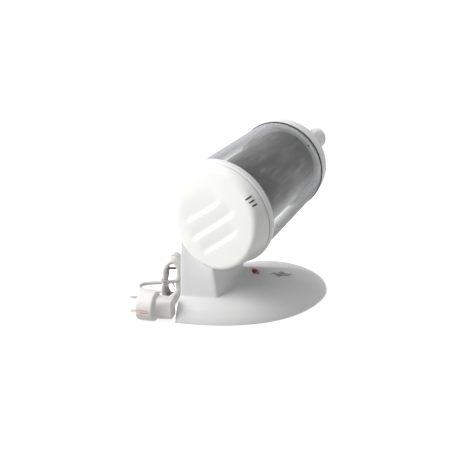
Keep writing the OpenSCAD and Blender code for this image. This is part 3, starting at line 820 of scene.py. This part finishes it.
def rear_ring():
    """The light grey ring inside the tube's end, with a small dark drain plug in its lip."""
    at, hole_r = drum_matrix(TUBE_L), REFL_R / MM + 1
    pts = [(hole_r, 6, 0.4), (56.8, 6, 0), (56.8, -4, 0.4), (60.2, -4, 0.5), (60.3, 11.6, 0.6),
           (55, 12, 0.4), (55, 9, 0), (hole_r, 9, 0.3)]
    ring = revolve("rear_grey_ring", profile(pts, True), at, True, seg=192)
    turn, out = math.radians(36), 58.5 * MM
    hole = drum_matrix(TUBE_L, out * math.cos(turn), out * math.sin(turn))
    carve(ring, [drill(1.5, -6, 0.4, hole)])
    dress(ring, GREY, "stand", "grey_plate", "rear_collar")
    stopper = [(0, -4.3, 0), (1.4, -4.3, 0), (1.4, 0.3, 0), (0, 0.3, 0)]
    dress(revolve("drain_plug", profile(stopper), hole, seg=32), SEAL, "stand", "rubber")


def rear_dome():
    """The black gasket and the hollow dome behind it, with a round opening for each port."""
    at, thick = drum_matrix(TUBE_L), GASKET_T / MM
    pts = [(60.4, 0.05, 0.2), (64.4, 0.05, 0.4), (64.4, thick, 0.4), (60.4, thick, 0.2)]
    ring_piece("black_gasket", pts, at, SEAL, "stand", "rubber", "rear_gasket", seg=192)
    outer = [(60.6, thick + 0.05, 0), (63.3, thick + 0.05, 0.4), (63.3, 14, 12), (62.2, 22, 10),
             (56.8, 32.2, 9), (48.6, 40.4, 9), (35, 46.4, 12), (18, 49.6, 10), (0, 50, 0)]
    inner = [(0, 46.8, 0), (18, 46.4, 0), (33.6, 43, 8), (47, 36.8, 8), (55, 28, 8), (59.4, 17, 8),
             (60.6, 12, 0)]
    cap = revolve("rear_dome", profile(outer + inner, True, 8), at, True, seg=192, angle=50)
    carve(cap, [drill(11, 25, 60, drum_matrix(TUBE_L, k * PORT_X, k * PORT_V), seg=96) for k in (1, -1)])
    dress(cap, SHELL, "stand", "white_shell", "rear_cap")


def reflector():
    """Sheet cylinder with soft dents, dark with painted reflection, and a bright band at its front."""
    seg, steps, wall_r = 160, 60, 46.9 * MM
    length, r = TUBE_L + 4 * MM, REFL_R - 0.2 * MM
    m = drum_matrix(4 * MM)
    around = [2 * math.pi * k / seg for k in range(seg)]
    rows = []
    for j in range(steps + 1):
        u, row = length * j / steps, []
        for a in around:
            p = Vector((math.cos(a), math.sin(a), 0))
            dent = noise.noise(Vector((p.x * 2.6, p.y * 2.6, u * 38))) * 0.16 * MM
            row.append(m @ (p * (r + dent) + Vector((0, 0, u))))
        rows.append(row)
    for u in (length, 0):
        rows.append([m @ Vector((wall_r * math.cos(a), wall_r * math.sin(a), u)) for a in around])
    rows.append(rows[0])
    dress(grid("reflector_with_painted_reflections", rows, angle=30), PAINTED_REFLECTION_SHEET, "stand", "dark_steel", "steel_reflector")
    pts = [(46.5, 3.9, 0), (48.9, 3.9, 0.3), (48.95, 6.4, 0.3), (48.42, 6.5, 0)]
    dress(revolve("reflector_band", profile(pts), drum_matrix(), seg=160), STEEL, "stand", "steel")


def port(sign, name, body):
    """A white spigot, its domed union nut with grip notches, and the ring between them."""
    at, end = drum_matrix(TUBE_L, sign * PORT_X, sign * PORT_V), PORT_L / MM
    tail = [(8, 30, 0.3), (10.9, 30, 0.3), (10.9, 40, 0), (12.6, 41, 0.3), (12.6, 42.6, 0.4),
            (10.9, 43.6, 0.3), (10.9, end - 6, 0), (12.2, end - 6, 0.3), (12.2, end - 4, 0.3),
            (8, end - 4, 0.3)]
    ring_piece(name + "_tail", tail, at, SHELL, "stand", "white_shell", name + "_spigot", seg=96)
    cap = [(10.96, 52, 0.3), (15.2, 52, 0.8), (15.2, 64, 3), (16, 67, 2), (15.8, 70.4, 3), (12.4, 72.3, 2),
           (9, 72.3, 0.8), (9, 69.2, 0.2), (12.6, 69.2, 0.2), (12.6, 65, 0.2), (10.96, 65, 0.2)]
    nut = revolve(name + "_cap_nut", profile(cap, True), at, True, seg=96)
    notch, count = [(0, 50, 0), (0.9, 50, 0), (0.7, 60, 0.3), (0, 62, 0)], 12
    cuts = []
    for k in range(count):
        spot = at @ turn_about("Z", 360 / count * k) @ Matrix.Translation((15.4 * MM, 0, 0))
        cuts.append(revolve("hole", profile(notch), spot, seg=20))
    carve(nut, cuts)
    dress(nut, SHELL, body, "white_shell", name + "_nut")
    seal = [(9.2, end - 4, 0.3), (12, end - 4, 0.3), (12, end - 3, 0.3), (9.2, end - 3, 0.3)]
    ring_piece(name + "_ring", seal, at, RUBBER, "stand", "rubber", name + "_o_ring", seg=64)


# ---------------------------------------------------------------- cover
FLUTES = (((-34.9, -11.6), (11.4, 16.6), 24),  # left end, right end and upward reach, in mm from the rim
          ((-26.9, -32.8), (28.9, 5.8), 18),
          ((-10, -46.2), (34.4, -14.2), 17))
FLUTE_D = 1.8                                # depth of the finger flutes, in mm


def soft_step(x):
    """0 below 0, 1 above 1 and smooth between."""
    x = min(1, max(0, x))
    return x * x * (3 - 2 * x)


def flute_depth(x, z):
    """Scooped grips: deepest at the foot of a short lower wall and shallower upwards."""
    depth = 0.0
    for (ax, az), (bx, bz), reach in FLUTES:
        dx, dz = bx - ax, bz - az
        length = math.hypot(dx, dz)
        t = ((x - ax) * dx + (z - az) * dz) / length
        side = (-(x - ax) * dz + (z - az) * dx) / length - 2.2 * soft_step((t - length + 8) / 14)
        ends = soft_step((t + 5) / 13) * soft_step((length + 7 - t) / 15)
        wall = soft_step((side + 3.6) / 8)
        slope = max(0, 1 - max(0, side - 1.4) / reach) ** 1.5
        depth = max(depth, FLUTE_D * ends * wall * slope)
    return depth * MM


def front_cover():
    """Round skirt cut by an upright face with a rounded edge, a slight dome and three finger flutes."""
    seg, rings, bend, inset, dome = 256, 56, 14, 1.5 * MM, 0.7 * MM
    edge_r, along_skirt, along_face = FACE_R + 0.8 * MM, 5 * MM, 6 * MM
    back, m = -FLANGE_T - 0.6 * MM, drum_matrix()
    angles = [2 * math.pi * k / seg for k in range(seg)]

    def on_face(r, a):
        x, v = r * math.cos(a) + inset, r * math.sin(a)
        return m @ Vector((x, -v, (-FACE_Y + v * ST) / CT))

    def on_skirt(r, a, u):
        return m @ Vector((r * math.cos(a), -r * math.sin(a), u))

    start = [on_skirt(COVER_R, a, back - 0.6 * MM) for a in angles]
    edge = [on_face(edge_r, a) for a in angles]
    middle = on_face(0, 0)
    from_skirt = [e + (s - e).normalized() * min(along_skirt, 0.45 * (s - e).length)
                  for s, e in zip(start, edge)]
    to_face = [e + (middle - e).normalized() * along_face for e in edge]
    rows = [[on_skirt(COVER_R - 0.5 * MM, a, back) for a in angles],
            [on_skirt(COVER_R - 0.12 * MM, a, back - 0.15 * MM) for a in angles], start]
    rows += [[s.lerp(e, k / 5) for s, e in zip(start, from_skirt)] for k in range(1, 5)]
    for k in range(bend + 1):
        t = k / bend
        rows.append([p * (1 - t) ** 2 + e * (2 * t * (1 - t)) + q * t * t
                     for p, e, q in zip(from_skirt, edge, to_face)])
    for k in range(1, rings):
        near = 1 - k / rings
        row = []
        for q in to_face:
            p = middle.lerp(q, near)
            x, z = (p.x - OFF_X) / MM, (p.z - AXIS_H) / MM
            lift = dome * (1 - near * near)
            row.append(p + Vector((0, flute_depth(x, z) * soft_step((1 - near) * 6) - lift, 0)))
        rows.append(row)
    outer = grid("fluted_cover", rows, close_end=True, angle=60)
    solid = outer.modifiers.new("wall", "SOLIDIFY")
    solid.thickness, solid.offset = 1.6 * MM, -1
    with bpy.context.temp_override(object=outer, active_object=outer, selected_objects=[outer]):
        bpy.ops.object.modifier_apply(modifier=solid.name)
    outer.data.shade_smooth()
    outer.data.set_sharp_from_angle(angle=math.radians(60))
    dress(outer, COVER, "cover", "milky_cover", "front_cover")
    return outer


def index_marks(cover):
    """Three plain bars printed on the cover's skirt."""
    m, far_r, steps, first_u, length = drum_matrix(), 0.09, 8, -16.2, 5
    for k in (-1, 0, 1):
        left, right = [], []
        for j in range(steps + 1):
            u = (first_u - length * j / steps) * MM
            for side, turn in ((left, 0.9), (right, -0.9)):
                a = math.radians(29.3 + 4.8 * k + turn)
                far = m @ Vector((far_r * math.cos(a), -far_r * math.sin(a), u))
                _, point, normal, _ = cover.ray_cast(far, (m @ Vector((0, 0, u)) - far).normalized())
                side.append((point, normal))
        bar = grid("index_stroke", ink_rows(left, right, 0.2 * MM), True, True, angle=60)
        dress(bar, INK, "cover", "mark_grey")
    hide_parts("index_bars")


# ---------------------------------------------------------------- CAD pieces that are shown as they are
SHOWN_AS_CAD = (
    # painted shadow: the dark base plate makes the shadow line under the stand's edge
    (SHADOW_LINE_PLATE, ("base_plate",)),
    (STEEL, ("base_screws", "neck_screws", "sleeve_gland_nut")),
    (STEEL, ("reflector_front_ring", "reflector_rear_ring")),
    (RUBBER, ("rubber_feet", "lamp_lead", "saddle_pads")),
    (RUBBER, ("front_tube_seal", "sleeve_o_ring", "cover_seal")),
    (BOARD, ("ballast_board",)),
    (WINDING, ("ballast_choke",)),
    (DARK, ("ballast_capacitors", "switch_body")),
    (IVORY, ("terminal_block", "lamp_socket", "uv_lamp_base")),
    (QUARTZ, ("quartz_sleeve",)),
    (LAMP, ("uv_lamp_tubes",)))


def carried_over():
    """Gives each of these CAD pieces its material."""
    for material, names in SHOWN_AS_CAD:
        for name in names:
            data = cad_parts[name].data
            data.materials.clear()
            data.materials.append(material)


# ---------------------------------------------------------------- floor and light
FLOOR_HALF, FLOOR_GLOW = 8.0, 0.6
AMBIENT = 0.42                               # share of the white world that diffuse surfaces receive


def area_light(name, at, aim, size, watts, color=(1, 1, 1)):
    data = bpy.data.lights.new(name, "AREA")
    data.shape, data.size, data.size_y = "RECTANGLE", size[0], size[1]
    data.energy, data.color = watts, color
    obj = bpy.data.objects.new(name, data)
    bpy.context.scene.collection.objects.link(obj)
    obj.location = at
    obj.rotation_mode = "QUATERNION"
    obj.rotation_quaternion = (Vector(aim) - Vector(at)).to_track_quat("-Z", "Y")


def pale_floor():
    """A wide matt floor that glows enough to stay white but doesn't light the object."""
    z, s = CAD_BOX[0][2], FLOOR_HALF
    mesh = bpy.data.meshes.new("floor")
    mesh.from_pydata([(-s, -s, z), (s, -s, z), (s, s, z), (-s, s, z)], [], [(0, 1, 2, 3)])
    floor = bpy.data.objects.new("floor", mesh)
    bpy.context.scene.collection.objects.link(floor)
    m = Nodes("pale floor")
    m.link(m.ramp(m.noise(3, 2), [(0.2, (0.9, 0.9, 0.9)), (0.8, (0.93, 0.93, 0.93))]),
           m.shader.inputs["Base Color"])
    m.set(Roughness=0.9, Emission_Color=(1, 1, 1, 1), Emission_Strength=FLOOR_GLOW)
    mesh.materials.append(m.material)
    floor.visible_diffuse = False


def white_world():
    """Full white to the camera and to reflections, weaker to diffuse surfaces."""
    world = bpy.data.worlds.new("studio")
    bpy.context.scene.world = world
    world.use_nodes = True
    tree = world.node_tree
    back = tree.nodes["Background"]
    path = tree.nodes.new("ShaderNodeLightPath")
    level = tree.nodes.new("ShaderNodeMapRange")
    level.inputs["To Min"].default_value = 1.0
    level.inputs["To Max"].default_value = AMBIENT
    tree.links.new(path.outputs["Is Diffuse Ray"], level.inputs["Value"])
    tree.links.new(level.outputs["Result"], back.inputs["Strength"])
    back.inputs["Color"].default_value = (1, 1, 1, 1)


def studio():
    pale_floor()
    white_world()
    area_light("key", (-1.15, -1.2, 1.05), (0, 0, 0.1), (1.2, 1.2), 40, (1, 0.995, 0.98))
    area_light("top", (-0.2, 0.1, 1.5), (0, 0, 0.1), (0.9, 0.9), 3)
    bpy.context.scene.view_settings.view_transform = "Standard"


shell = stand_shell()
button(shell)
wave_mark(shell)
dress(shell, SHELL, "stand", "white_shell", "stand_shell")
flange()
tube()
rear_ring()
rear_dome()
reflector()
port(1, "outlet", "outlet_nut")
port(-1, "inlet", "inlet_nut")
index_marks(front_cover())
carried_over()
studio()
